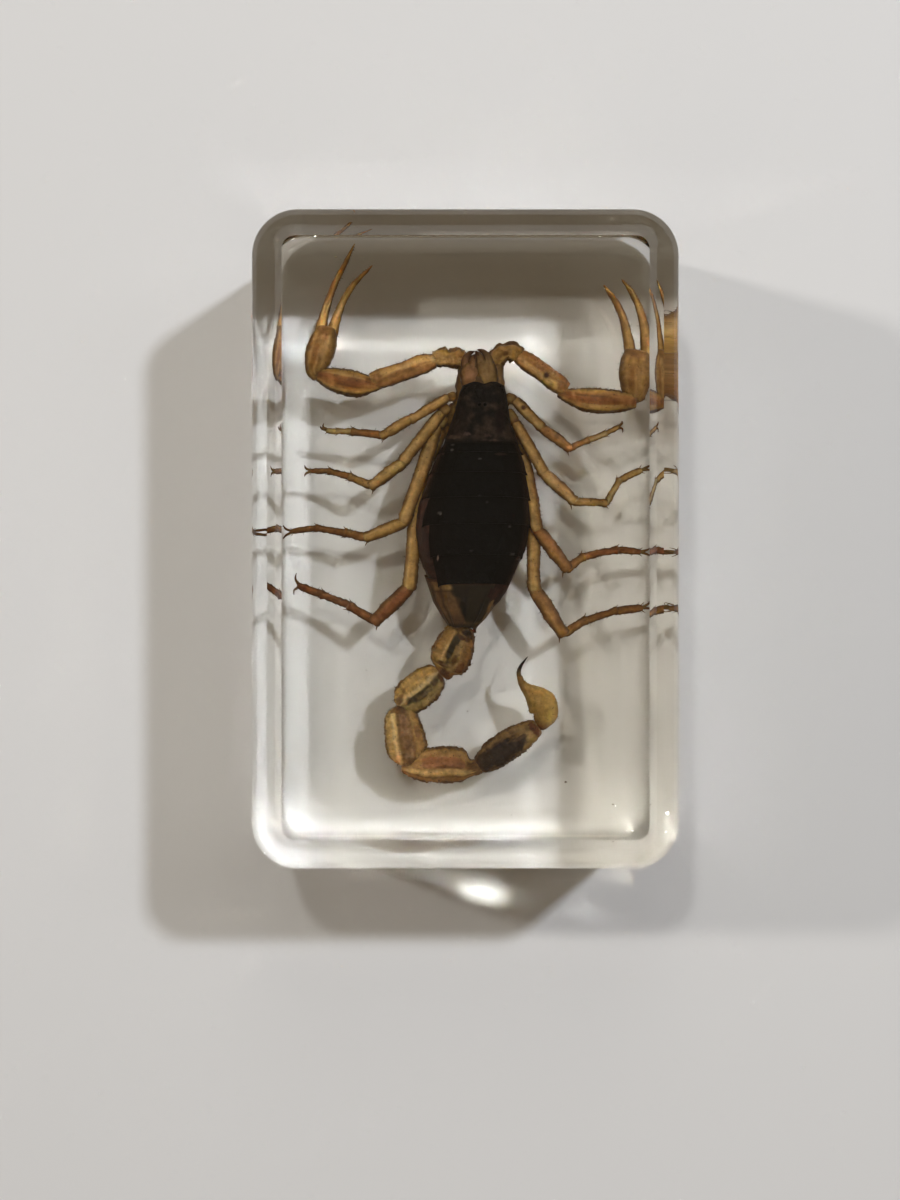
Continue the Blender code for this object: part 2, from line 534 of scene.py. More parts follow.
def backPlate(hull, front, rear, right, left, columns=56, rows=16, keels=(90, 62, 118), hueAt=None,
              below=False):
    # one overlapping plate: it tips up towards its rear edge, which has a beaded rim
    side = -1 if below else 1
    grid, under = [], []
    for i in range(rows + 1):
        v = i / rows
        top, bottom = [], []
        for j in range(columns + 1):
            u = j / columns
            degrees = right + (left - right) * u
            y = front + (rear - front) * v
            edge = math.sin(math.pi * u) ** 0.35 if 0 < u < 1 else 0.0
            y += 0.25 * (1 - edge) * (front - rear) * (0.5 - v)  # rounded corners
            rim = plateShape["rimRise"] * math.exp(-((1 - v) / 0.06) ** 2)
            tip = plateShape["lift"] + plateShape["tip"] * v * v + rim
            raised = 0.0
            for keel in keels:
                part = math.exp(-((degrees - keel) / plateShape["keelBreadth"]) ** 2) * ease(v * 1.6)
                raised = max(raised, part)
            bead = plateShape["beadRise"] * math.cos(u * columns * math.pi * 0.5) if v > 0.9 else 0.0
            point = backPoint(y, side * degrees, tip + plateShape["keelRise"] * raised + bead)
            point += Vector((0, 0, 1)) * side * plateShape["dents"] * noise.noise(point * 1.6)
            hue = hueAt(point, v) if hueAt else noHue
            seam = 0.8 * math.exp(-(v / 0.08) ** 2)
            top.append(hull.add(point, hue=hue, ridge=raised, rim=1 - edge, joint=seam))
            inner = backPoint(y, side * degrees, tip - plateShape["thick"])
            bottom.append(hull.add(inner, hue=hue, rim=1 - edge))
        grid.append(top)
        under.append(bottom)
    closePlate(hull, grid, under)


def makeTrunk():
    core = Hull("pleural_membrane")
    loft(core, trunk["run"], ring=72, steps=90, blunt=(0.5, 0.4), grain=0.05, jointStrength=0)
    for k, point in enumerate(core.points):  # shallow pleats between the plates
        pleat = 0.03 * math.sin(point.y * 4.2) * core.paint["rim"][k] * ease((point.y + 4.5) * 0.6)
        core.points[k] = point + Vector((math.copysign(pleat, point.x), 0, 0))
    core.finish(membraneSkin)
    starts = trunk["plates"]

    def plateHue(point, v):
        # black, browner towards the right edge, with the pale flecks
        x, z, a, b = trunkAt(point.y)
        edge = ease((abs(point.x - x) / a - 0.88) * 9)
        middle, flank = (hexVector(code) for code in trunk["shieldHues"])
        colour = middle.lerp(flank, edge)
        near = spotted(colour, point.x, point.y, trunk["flecks"])
        return (*near, 0.96)

    for number, (front, rear) in enumerate(zip(starts, starts[1:]), 1):
        plate = Hull(f"tergite_{number}")
        right, left = trunk["rightEnds"][number - 1], trunk["leftEnds"][number - 1]
        backPlate(plate, front + 0.25, rear - 0.05, right, left, hueAt=plateHue, columns=110, rows=26)
        plate.finish(shieldCuticle)

    def lastPlateHue(point, v):
        # a black wedge narrowing to the tail, an amber lobe on its left, a brown one on its right
        x, z, a, b = trunkAt(point.y)
        down = (-4.4 - point.y) / 4.3
        waver = 0.22 * noise.noise(Vector((point.x * 1.3, point.y * 1.6, 2.0)))
        streak = 0.5 + 0.5 * noise.noise(Vector((point.x * 3.2, point.y * 0.5, 3.0)))
        shades = {name: hexVector(code) for name, code in trunk["lastShades"].items()}
        inset = (point.x - x) / a + waver * 0.15
        if point.x < 0.9:
            colour = shades["light"].lerp(shades["panel"], ease((down - 0.10) * 9))
            colour = colour.lerp(shades["brown"], ease((down - 0.62) * 4))
            crossLine = 0.85 * math.exp(-((down - 0.17 + waver * 0.1) / 0.035) ** 2)
            colour = colour.lerp(shades["line"], crossLine)
            colour = colour.lerp(shades["line"], 0.9 * math.exp(-((inset + 0.72) / 0.06) ** 2))
            colour = colour.lerp(shades["line"], ease((-inset - 0.86) * 12))
        else:
            corner = ease((0.12 - down) * 12) * ease((inset - 0.4) * 6)
            colour = shades["right"].lerp(shades["panel"], corner)
            colour = colour.lerp(shades["olive"], ease((inset - 0.72) * 8) * ease((down - 0.2) * 6))
        colour = spotted(colour * (0.75 + 0.5 * streak), point.x, point.y, trunk["lastFlecks"])
        half = 2.35 - 1.75 * down
        inWedge = ease((1.2 + waver - abs(point.x - 0.88) / max(half, 0.2)) * 3) * ease((1.02 - down) * 5)
        border = -4.42 - 0.16 * math.cos((point.x - 0.4) * 0.9) + 0.5 * waver
        colour = colour.lerp(shades["wedge"], max(inWedge, ease((point.y - border) * 9)))
        return (*colour.lerp(shades["end"], ease((down - 0.90) * 14)), 0.97)

    last = Hull("tergite_7")
    backPlate(last, starts[-1] + 0.25, trunk["lastPlateEnd"], 8, 172, keels=(90, 60, 120, 35, 145),
              hueAt=lastPlateHue, columns=110, rows=60)
    last.finish(tailCuticle)
    bellyStarts = trunk["bellyPlates"]
    for number, (front, rear) in enumerate(zip(bellyStarts, bellyStarts[1:]), 1):
        belly = Hull(f"sternite_{number}")
        backPlate(belly, front + 0.2, rear, 22, 158, keels=(), below=True, columns=40, rows=10)
        belly.finish(amberCuticle)
    print("trunk made")


carapace = {  # y, left x, right x of the shield's edge in mm
    "edge": [(15.95, 0.5, 3.3), (15.6, -0.2, 3.95), (14.9, -0.55, 4.15), (13.9, -0.8, 4.3),
             (12.9, -1.05, 4.45), (11.6, -1.5, 4.65), (10.4, -1.95, 5.15), (9.7, -2.15, 5.45)],
    "floor": 8.9, "dome": 2.0, "hues": ("#1f1b18", "#47392d"),
    "flecks": [(-1.15, 10.35, 0.60, 0.16, "#5c483a"), (-0.55, 10.55, 0.25, 0.14, "#544236"),
               (0.10, 10.62, 0.22, 0.14, "#5a463d"), (0.42, 10.60, 0.13, 0.12, "#54423a"),
               (2.3, 10.45, 0.30, 0.16, "#4c3a30"), (2.9, 9.95, 0.55, 0.08, "#4e3d33"),
               (1.9, 10.0, 0.4, 0.08, "#403128"), (-0.7, 11.6, 0.9, 0.9, "#332821"),
               (-0.2, 12.6, 0.5, 0.6, "#2a211c"), (3.5, 12.0, 0.4, 1.2, "#261a18")],
    "eyes": [(1.45, 13.55, 0.20), (2.0, 13.55, 0.20)],
    "sideEyes": [(0.15, 15.45, 0.10), (0.0, 15.15, 0.10), (-0.1, 14.85, 0.08),
                 (3.55, 15.45, 0.10), (3.75, 15.15, 0.10), (3.85, 14.85, 0.08)],
}


def carapaceTop(x, y):
    rows = carapace["edge"]
    left, right = readRow(rows, 0, y, (1, 2))
    middle, half = (left + right) / 2, (right - left) / 2
    u = max(-1, min(1, (x - middle) / half))
    v = (rows[0][0] - y) / (rows[0][0] - rows[-1][0])
    height = carapace["dome"] * (0.72 + 0.28 * v) * (1 - abs(u) ** 3.0) ** 0.6
    height *= 0.55 + 0.45 * ease(v * 7)
    height += 0.20 * math.exp(-((x - 1.72) / 0.42) ** 2 - ((y - 13.5) / 0.55) ** 2)  # eye hill
    height -= 0.12 * math.exp(-((x - middle) / 0.22) ** 2) * ease(v * 3) * (0.4 + v)  # middle groove
    keel = 0.0
    for place in (-0.36, 0.36):
        keel = max(keel, math.exp(-((u - place) / 0.05) ** 2))
    for place in (-0.72, 0.72):
        keel = max(keel, 0.7 * math.exp(-((u - place) / 0.05) ** 2) * ease(2 * v))
    height += 0.07 * keel * ease((1 - v) * 8)
    height -= 0.12 * math.exp(-((v - 0.62) / 0.03) ** 2) * (abs(u) > 0.1)  # cross furrow
    return carapace["floor"] + height, keel, u, v


def makeCarapace():
    shield = Hull("carapace")
    rows = carapace["edge"]
    grid, under = [], []
    count, columns = 70, 70
    for i in range(count + 1):
        y = rows[0][0] + (rows[-1][0] - rows[0][0]) * i / count
        left, right = readRow(rows, 0, y, (1, 2))
        top, bottom = [], []
        for j in range(columns + 1):
            x = left + (right - left) * j / columns
            z, keel, u, v = carapaceTop(x, y)
            notch = 0.22 * math.exp(-(u / 0.35) ** 2) * (1 - ease(v * 6))
            point = Vector((x, y - notch, z))
            grainy = noise.noise(point * 3.1) + 0.6 * noise.noise(point * 8.0)
            point.z += 0.06 * grainy
            patch = ease(0.8 * v + 0.9 * noise.noise(Vector((x * 1.1, y * 1.3, 5.0))) + 0.25 * grainy - 0.12)
            patch *= ease((1 - v) * 9)
            brown = hexVector(carapace["hues"][0]).lerp(hexVector(carapace["hues"][1]), patch)
            sway = 0.12 * noise.noise(point * 4.0)
            brown = spotted(brown, x + 0.12 * grainy, y + sway, carapace["flecks"])
            top.append(shield.add(point, ridge=keel, rim=abs(u) ** 6, hue=(*brown, 0.85),
                                  joint=math.exp(-((1 - v) / 0.03) ** 2)))
            bottom.append(shield.add(Vector((x, y - notch, carapace["floor"] - 0.25)), rim=1.0))
        grid.append(top)
        under.append(bottom)
    closePlate(shield, grid, under)
    for x, y, radius in carapace["eyes"] + carapace["sideEyes"]:
        z = carapaceTop(x, y)[0]
        loft(shield, [(x, y, z - radius, radius, radius), (x, y, z + 0.8 * radius, radius, radius)],
             ring=14, steps=8, blunt=(radius, radius), up=(0, 1, 0), grain=0, power=2.0, tone=(1, 1),
             jointStrength=0)
    shield.finish(shieldCuticle)
    print("carapace made")


jaws = {  # each jaw's knots in mm, its two fingers, and its colours from root to front
    "left": dict(
        palm=[(0.60, 15.3, 8.0, 0.80, 0.70), (0.52, 16.3, 8.7, 0.98, 0.85), (0.50, 17.2, 8.9, 0.98, 0.90),
              (0.58, 18.0, 8.8, 0.62, 0.7)],
        fingers=[[(0.15, 17.2, 8.9, 0.50, 0.5), (0.05, 18.1, 9.0, 0.42, 0.4), (0.45, 18.8, 9.0, 0.28, 0.25),
                  (1.0, 19.0, 9.4, 0.06, 0.06)],
                 [(0.75, 17.4, 9.3, 0.42, 0.4), (0.85, 18.2, 9.3, 0.32, 0.3),
                  (1.1, 18.8, 9.2, 0.07, 0.07)]],
        colours=("#cf9970", "#a87650")),
    "right": dict(
        palm=[(2.45, 15.3, 8.0, 0.85, 0.70), (2.30, 16.4, 8.7, 1.05, 0.85), (2.05, 17.6, 8.9, 1.00, 0.90),
              (1.8, 18.5, 8.8, 0.66, 0.7)],
        fingers=[[(2.35, 17.5, 9.3, 0.50, 0.5), (2.35, 18.3, 9.4, 0.42, 0.4),
                  (1.85, 18.95, 9.4, 0.26, 0.25), (1.2, 19.2, 9.4, 0.06, 0.06)],
                 [(1.6, 17.7, 9.4, 0.44, 0.4), (1.45, 18.5, 9.4, 0.36, 0.3),
                  (1.0, 19.05, 9.3, 0.08, 0.08)]],
        colours=("#ad8a5a", "#b8925e")),
}
jawBack = [(1.3, 15.2, 8.7, 1.2, 0.6), (1.25, 17.0, 8.8, 1.3, 0.7), (1.15, 18.4, 8.9, 0.9, 0.5),
           (1.1, 18.85, 8.9, 0.5, 0.3)]  # upper lip and the closed mouth behind the jaws
jawFlank = "#3a2416"
jawStains = [(0.95, 19.0, 0.60, 0.92), (0.3, 18.55, 0.30, 0.7), (1.9, 18.9, 0.30, 0.6),
             (1.1, 18.3, 0.25, 0.55)]


def makeChelicerae():
    mouth = Hull("chelicerae")
    for jaw in jaws.values():
        near, far = (hexVector(code) for code in jaw["colours"])

        def jawHue(place, t):
            fleck = noise.noise(Vector((t * 6, place / 14, near[0] * 90)))
            colour = near.lerp(far, t) * (1.0 + 0.35 * fleck)
            # darker at both sides as painted shade, and darker towards the front
            outer = max(ease((abs(place - 50) - 32) / 16), 0.8 * ease((t - 0.72 + 0.3 * fleck) * 4))
            return (*colour.lerp(hexVector(jawFlank), outer), 0.85)

        loft(mouth, jaw["palm"], ring=32, steps=28, blunt=(0.4, 0.9), grain=0.12, jointReach=(0.35, 0.05),
             hueAt=jawHue)
        for finger in jaw["fingers"]:
            loft(mouth, finger, ring=18, steps=22, blunt=(0.2, 0.08), grain=0.05, tone=(0.05, 0.95),
                 jointStrength=0, hueAt=jawHue)
            for k in range(4):  # teeth on the inner edge
                x, y, z, half = throughKnots(finger, 0.35 + 0.15 * k)[:4]
                root = Vector((x, y, z + half * 0.6))
                point = root + (Vector((1.15, y + 0.4, z + 0.3)) - root).normalized() * (half * 0.5 + 0.14)
                spike(mouth, [(*root, 0.09, 0.09), (*point, 0.03, 0.03)], (0.9, 1.0), 8, 4, (0.05, 0.03))
    loft(mouth, jawBack, ring=24, steps=24, blunt=(0.3, 0.3), grain=0.08, tone=(0.5, 0.85),
         jointStrength=0)
    stain(mouth, jawStains)
    mouth.finish(amberCuticle)
    print("chelicerae made")


pedipalps = {  # knots in mm: x, y, z, half width, half height
    "left": {
        "coxa": [(0.5, 12.2, 7.0, 0.9, 0.8), (0.0, 14.6, 7.4, 0.9, 0.9), (0.0, 16.6, 7.8, 0.75, 0.8),
                 (0.2, 18.2, 8.0, 0.7, 0.8)],
        "trochanter": [(0.1, 18.1, 7.9, 0.7, 0.8), (-0.9, 18.4, 8.0, 1.0, 0.95),
                       (-1.7, 18.3, 8.1, 0.75, 0.85), (-2.4, 18.4, 8.1, 1.0, 0.9),
                       (-3.2, 18.2, 8.0, 0.7, 0.75)],
        "femur": [(-2.9, 18.15, 8.0, 0.65, 0.7), (-4.0, 17.9, 8.1, 0.95, 0.85),
                  (-6.3, 17.05, 8.2, 0.92, 0.85), (-8.4, 16.4, 8.1, 0.98, 0.85),
                  (-9.6, 16.15, 8.0, 0.75, 0.7)],
        "patella": [(-8.3, 15.75, 8.0, 0.35, 0.5), (-9.4, 15.75, 8.0, 0.75, 0.8),
                    (-10.6, 15.75, 8.1, 1.2, 1.05), (-12.0, 16.0, 8.1, 1.28, 1.1),
                    (-13.6, 16.4, 8.0, 1.05, 0.95), (-14.9, 16.8, 7.9, 0.6, 0.7)],
        "manus": [(-14.7, 16.3, 7.8, 0.55, 0.6), (-15.05, 17.1, 7.8, 0.92, 0.9),
                  (-14.85, 18.3, 7.8, 1.35, 1.2), (-14.45, 19.6, 7.8, 1.45, 1.2),
                  (-14.15, 20.7, 7.8, 1.22, 1.05), (-13.95, 21.7, 7.7, 0.85, 0.8)],
        "fixedFinger": [(-14.75, 20.3, 7.7, 0.62, 0.7), (-14.55, 21.5, 7.6, 0.60, 0.6),
                        (-14.28, 22.7, 7.6, 0.47, 0.46), (-13.85, 24.2, 7.6, 0.38, 0.4),
                        (-13.2, 25.9, 7.7, 0.33, 0.35), (-12.4, 27.5, 7.7, 0.26, 0.3),
                        (-11.75, 28.8, 7.7, 0.19, 0.2), (-11.1, 30.1, 7.7, 0.05, 0.05)],
        "movableFinger": [(-13.55, 20.7, 7.6, 0.66, 0.66), (-13.05, 22.3, 7.6, 0.50, 0.48),
                          (-12.45, 23.9, 7.7, 0.38, 0.4), (-11.75, 25.2, 7.7, 0.33, 0.35),
                          (-10.9, 26.3, 7.7, 0.26, 0.28), (-10.1, 27.1, 7.7, 0.18, 0.2),
                          (-9.3, 27.9, 7.7, 0.05, 0.05)],
    },
    "right": {
        "coxa": [(2.9, 12.2, 7.0, 0.9, 0.8), (3.3, 14.6, 7.4, 0.9, 0.9), (3.2, 16.4, 7.8, 0.75, 0.8),
                 (3.1, 18.0, 8.0, 0.75, 0.8)],
        "trochanter": [(3.1, 17.6, 7.9, 0.7, 0.8), (3.4, 18.6, 8.0, 0.95, 0.95),
                       (4.2, 19.0, 8.1, 0.8, 0.85), (4.9, 19.0, 8.1, 1.0, 0.9),
                       (5.5, 18.5, 8.0, 0.7, 0.75)],
        "femur": [(5.2, 18.7, 8.0, 0.65, 0.7), (6.1, 18.2, 8.1, 0.92, 0.85), (7.7, 17.1, 8.2, 0.9, 0.85),
                  (9.3, 15.9, 8.1, 0.95, 0.85), (10.3, 15.2, 8.0, 0.75, 0.7)],
        "patella": [(9.4, 15.1, 8.0, 0.45, 0.5), (10.6, 14.6, 8.0, 0.75, 0.8),
                    (12.2, 14.25, 8.1, 1.15, 1.05), (13.9, 14.1, 8.1, 1.2, 1.1),
                    (15.8, 14.05, 8.0, 1.0, 0.95), (17.4, 14.1, 7.9, 0.65, 0.7)],
        "manus": [(17.4, 13.9, 7.8, 0.7, 0.6), (17.25, 15.0, 7.8, 1.25, 0.95), (17.2, 16.7, 7.8, 1.62, 1.3),
                  (17.25, 18.0, 7.8, 1.55, 1.2), (17.5, 19.3, 7.7, 1.2, 0.95)],
        "fixedFinger": [(18.2, 17.6, 7.7, 0.60, 0.7), (18.4, 18.9, 7.6, 0.68, 0.62),
                        (18.35, 20.2, 7.6, 0.58, 0.5), (18.1, 21.9, 7.6, 0.47, 0.42),
                        (17.6, 23.6, 7.7, 0.38, 0.35), (16.8, 25.2, 7.7, 0.28, 0.28),
                        (15.8, 26.5, 7.7, 0.06, 0.06)],
        "movableFinger": [(16.85, 18.4, 7.6, 0.66, 0.66), (16.5, 20.5, 7.6, 0.52, 0.48),
                          (16.15, 22.1, 7.6, 0.43, 0.4), (15.5, 23.7, 7.7, 0.35, 0.34),
                          (14.75, 24.9, 7.7, 0.26, 0.26), (14.0, 25.9, 7.7, 0.07, 0.07)],
    },
}
armBands = {  # colour across each piece of a pedipalp, with painted shade at both edges
    "coxa": makeBands((0, "#4a321c"), (12, "#80613a"), (50, "#9a7850"), (85, "#7c5c38"), (100, "#4a321a")),
    "trochanter": makeBands((0, "#5e4020"), (9, "#8a6636"), (22, "#c79a52"), (38, "#a87c42"),
                            (62, "#cc9f58"), (84, "#b3854a"), (94, "#7a552a"), (100, "#553a1b")),
    "femur": makeBands((0, "#5a3e1e"), (7, "#835d2e"), (13, "#bb8d48"), (19, "#d9ac62"), (40, "#d6ab64"),
                       (60, "#c8994f"), (74, "#b98344"), (84, "#c4824a"), (92, "#8a5a2c"),
                       (100, "#5a3c1c")),
    "patella": makeBands((0, "#553517"), (7, "#7c5226"), (14, "#cfa156"), (24, "#ad7338"), (40, "#b36f3c"),
                         (58, "#b57a42"), (74, "#c98a48"), (84, "#dbac60"), (92, "#8f6832"),
                         (100, "#573818")),
    "manus": makeBands((0, "#6a4722"), (8, "#8e6430"), (22, "#b08244"), (32, "#c89c58"), (42, "#ad8045"),
                       (58, "#c4975a"), (70, "#a87c42"), (80, "#bf9150"), (92, "#8e6430"),
                       (100, "#644420")),
    "finger": makeBands((0, "#6e4a22"), (10, "#a07538"), (30, "#cfa35e"), (60, "#d0a45c"), (88, "#a47a3e"),
                        (100, "#644222")),
}
armShape = {  # how each piece of a pedipalp is made
    "coxa": dict(ring=28, steps=28, grain=0.16, jointStrength=0.3),
    "trochanter": dict(ring=36, steps=44, beads=0.8, grain=0.28, grainScale=1.5, jointStrength=0.35,
                       keels=((55, 0.16, 10), (125, 0.16, 10), (8, 0.14, 12), (172, 0.14, 12))),
    "femur": dict(ring=40, steps=60, power=2.7, beads=0.34, grain=0.11, grainScale=3.0, blunt=(0.15, 0.15),
                  jointStrength=0.35,
                  keels=((42, 0.11, 7), (138, 0.11, 7), (222, 0.08, 7), (318, 0.08, 7), (84, 0.05, 6))),
    "patella": dict(ring=40, steps=56, power=2.5, beads=0.36, grain=0.11, grainScale=3.0, blunt=(0.15, 0.15),
                    jointStrength=0.35,
                    keels=((46, 0.12, 6), (92, 0.07, 6), (132, 0.12, 6), (2, 0.08, 8), (178, 0.08, 8),
                           (230, 0.06, 8), (310, 0.06, 8))),
    "manus": dict(ring=44, steps=52, power=2.3, grain=0.09, jointStrength=0.3,
                  keels=((30, 0.06, 8), (62, 0.05, 7), (95, 0.05, 7), (128, 0.05, 7), (160, 0.06, 8))),
    "fixedFinger": dict(ring=22, steps=56, keels=((90, 0.03, 14),), grain=0.06, tone=(0.0, 0.15),
                        jointStrength=0.0),
    "movableFinger": dict(ring=22, steps=56, keels=((90, 0.03, 14),), grain=0.06, tone=(0.0, 0.15),
                          jointStrength=0.6),
}
armPatches = {  # stains along a piece, with a painted highlight on the femur, as streaky takes them
    "patella": ((0.50, 0.34, 48, 15, "#9c5a2c"), (0.46, 0.22, 66, 6, "#7c4824"),
                (0.55, 0.30, 24, 6, "#e2b468")),
    # the femur's pale second patch is a painted highlight
    "femur": ((0.55, 0.35, 56, 12, "#a5713a"), (0.40, 0.22, 30, 8, "#e4bc76"),
              (0.88, 0.08, 50, 30, "#9a6a38")),
    "manus": ((0.42, 0.25, 62, 10, "#a8743c"), (0.60, 0.22, 36, 9, "#cfa05e"),
              (0.90, 0.10, 50, 34, "#9c6c38")),
}
armTeeth = {"count": 26, "start": 0.24, "stretch": 0.72}  # per finger, places as shares of its length
armSpots = {  # x, y, radius in mm, strength
    "left": [(-9.7, 16.1, 0.30, 0.5), (-14.7, 16.8, 0.35, 0.45)],
    "right": [(8.2, 16.6, 0.26, 0.95), (4.1, 18.8, 0.22, 0.5), (10.3, 14.9, 0.35, 0.45),
              (17.3, 14.0, 0.3, 0.4)],
}


def makePedipalps():
    for side in ("left", "right"):
        arm = Hull(f"pedipalp_{side}")
        for part, shape in armShape.items():
            bands = armBands.get(part, armBands["finger"])
            marks = armPatches.get(part, ())
            hueAt = streaky(bands, seed=len(part) + len(side), patches=marks)
            loft(arm, pedipalps[side][part], hueAt=hueAt, **shape)
        for finger, inward in (("fixedFinger", 1), ("movableFinger", -1)):
            knots = pedipalps[side][finger]  # the biting edges carry saw teeth
            for k in range(armTeeth["count"]):
                t = armTeeth["start"] + armTeeth["stretch"] * k / (armTeeth["count"] - 1)
                x, y, z, half = throughKnots(knots, t)[:4]
                ahead = Vector(throughKnots(knots, t + 0.02)[:3]) - Vector((x, y, z))
                bite = ahead.cross(Vector((0, 0, 1))).normalized() * inward
                root = Vector((x, y, z)) + bite * half * 0.75
                point = root + bite * (half * 0.25 + 0.09)
                spike(arm, [(*root, 0.07, 0.07), (*point, 0.025, 0.025)], (0.7, 1.0), 6, 3, (0.02, 0.02))
        stain(arm, armSpots[side])
        arm.finish(amberCuticle)
        hairyHulls.append(arm)
    print("pedipalps made")


legs = {  # joints in mm from hip to foot, the two claw tips, and half widths and hues from the hip outwards
    "left_1": dict(
        joints=[(-0.9, 14.7, 7.4), (-1.8, 14.4, 7.8), (-5.5, 12.2, 8.5), (-8.4, 10.6, 8.0),
                (-11.4, 11.1, 7.3), (-12.9, 11.1, 7.0), (-14.0, 11.2, 6.8)],
        claws=[(-14.7, 11.7, 6.7), (-14.3, 11.95, 7.2)],
        widths=(0.42, 0.42, 0.36, 0.29, 0.25), hues=("amber", "amber", "brown", "yellow", "yellow")),
    "left_2": dict(
        joints=[(-1.7, 13.6, 7.1), (-2.5, 12.8, 7.6), (-6.2, 7.9, 8.5), (-9.5, 5.5, 8.0), (-11.6, 6.5, 7.4),
                (-13.8, 7.1, 6.9), (-15.6, 7.1, 6.6)],
        claws=[(-16.3, 7.75, 6.5), (-16.3, 6.5, 6.7)],
        widths=(0.52, 0.48, 0.38, 0.32, 0.24), hues=("amber", "amber", "amber", "brown", "brown")),
    "left_3": dict(
        joints=[(-2.0, 12.6, 6.9), (-2.9, 11.6, 7.3), (-6.1, 1.9, 8.4), (-10.0, 0.3, 8.0),
                (-12.1, 0.8, 7.4), (-15.1, 1.3, 6.9), (-17.5, 0.95, 6.6)],
        claws=[(-18.5, 1.65, 6.5), (-18.5, 0.15, 6.7)],
        widths=(0.60, 0.48, 0.40, 0.33, 0.27), hues=("amber", "amber", "brown", "brown", "brown")),
    "left_4": dict(
        joints=[(-2.4, 11.2, 6.6), (-4.3, 7.2, 7.2), (-5.6, -4.8, 8.3), (-9.2, -8.1, 7.9),
                (-11.7, -6.6, 7.4), (-14.5, -5.4, 6.9), (-16.9, -4.6, 6.6)],
        claws=[(-17.1, -3.2, 6.5), (-17.35, -5.55, 6.7)],
        widths=(0.62, 0.58, 0.42, 0.38, 0.34), hues=("amber", "red", "red", "red", "red")),
    "right_1": dict(
        joints=[(4.2, 14.6, 7.4), (5.2, 14.1, 7.8), (7.7, 11.4, 8.5), (10.6, 9.3, 8.0), (12.5, 10.2, 7.4),
                (14.3, 10.9, 7.0), (15.6, 11.6, 6.8)],
        claws=[(15.95, 12.2, 6.7), (16.0, 10.95, 7.0)],
        widths=(0.46, 0.42, 0.31, 0.30, 0.22), hues=("amber", "brown", "brown", "yellow", "amber"),
        spots=[(5.9, 13.4, 0.24, 0.95), (9.2, 10.4, 0.25, 0.4)]),
    "right_2": dict(
        joints=[(4.3, 13.2, 7.1), (5.2, 11.8, 7.6), (8.0, 6.8, 8.5), (11.0, 4.0, 8.2), (14.3, 3.8, 7.6),
                (15.7, 6.2, 7.0), (17.9, 7.2, 6.7)],
        claws=[(19.1, 7.8, 6.6), (19.1, 7.05, 6.8)],
        widths=(0.50, 0.50, 0.37, 0.32, 0.31), hues=("amber", "amber", "amber", "yellow", "amber")),
    "right_3": dict(
        joints=[(5.0, 10.6, 6.9), (5.9, 8.6, 7.3), (7.4, 1.1, 8.4), (10.3, -2.9, 8.0), (12.0, -1.6, 7.4),
                (15.5, -0.9, 6.9), (17.8, -1.1, 6.6)],
        claws=[(18.9, -0.65, 6.5), (19.0, -1.65, 6.7)],
        widths=(0.56, 0.54, 0.40, 0.36, 0.30), hues=("amber", "brown", "brown", "red", "red")),
    "right_4": dict(
        joints=[(5.6, 8.4, 6.6), (6.9, 4.6, 7.2), (7.0, -5.0, 8.3), (10.0, -9.4, 8.0), (12.3, -8.0, 7.4),
                (15.4, -7.1, 6.9), (18.0, -6.8, 6.6)],
        claws=[(19.0, -5.9, 6.5), (19.1, -7.0, 6.7)],
        widths=(0.58, 0.58, 0.40, 0.36, 0.35), hues=("amber", "brown", "brown", "brown", "brown")),
}
legShape = {  # share of the length and of the half width, for each leg piece from the hip outwards
    "femur": [(0.0, 0.70), (0.06, 0.92), (0.2, 1.04), (0.5, 1.06), (0.82, 0.98), (0.94, 1.04), (1.0, 0.88)],
    "patella": [(0.0, 0.74), (0.07, 0.92), (0.35, 1.12), (0.6, 1.14), (0.85, 0.96), (0.95, 1.0),
                (1.0, 0.84)],
    "tibia": [(0.0, 0.78), (0.08, 0.92), (0.4, 0.96), (0.8, 0.90), (0.93, 1.06), (1.0, 0.88)],
    "basitarsus": [(0.0, 0.80), (0.08, 0.90), (0.5, 0.88), (0.85, 0.92), (0.95, 1.08), (1.0, 0.86)],
    "tarsus": [(0.0, 0.80), (0.12, 0.96), (0.5, 1.0), (0.85, 0.9), (1.0, 0.64)],
}
legMake = {  # overlap at either end, height, fullness and spur length, as shares of the half width
    "overlap": (0.55, 0.50), "flatness": 0.85, "fullness": 1.16, "spur": 1.15,
}
legBands = {  # colour across a leg, with painted shade at both edges and painted highlight in the middle
    "amber": makeBands((0, "#42290f"), (9, "#5d3f1c"), (17, "#a27a3e"), (30, "#d3ad68"), (45, "#bb924e"),
                       (60, "#cda55e"), (76, "#ab7f40"), (87, "#68461f"), (100, "#3e270f")),
    "brown": makeBands((0, "#331b0c"), (9, "#4b2c15"), (18, "#83552a"), (34, "#b17c42"), (50, "#96642f"),
                       (66, "#a66d38"), (80, "#784826"), (90, "#4b2b15"), (100, "#301a0b")),
    "red": makeBands((0, "#32150b"), (9, "#4b2514"), (18, "#814828"), (34, "#aa683e"), (50, "#8a4b2a"),
                     (66, "#9d5732"), (80, "#6e381f"), (90, "#4a2413"), (100, "#30150b")),
    "yellow": makeBands((0, "#574020"), (9, "#7c6030"), (18, "#bc9d5e"), (38, "#dfc688"), (56, "#dabe7e"),
                        (72, "#c6a362"), (86, "#8c6b36"), (100, "#543c1c")),
}


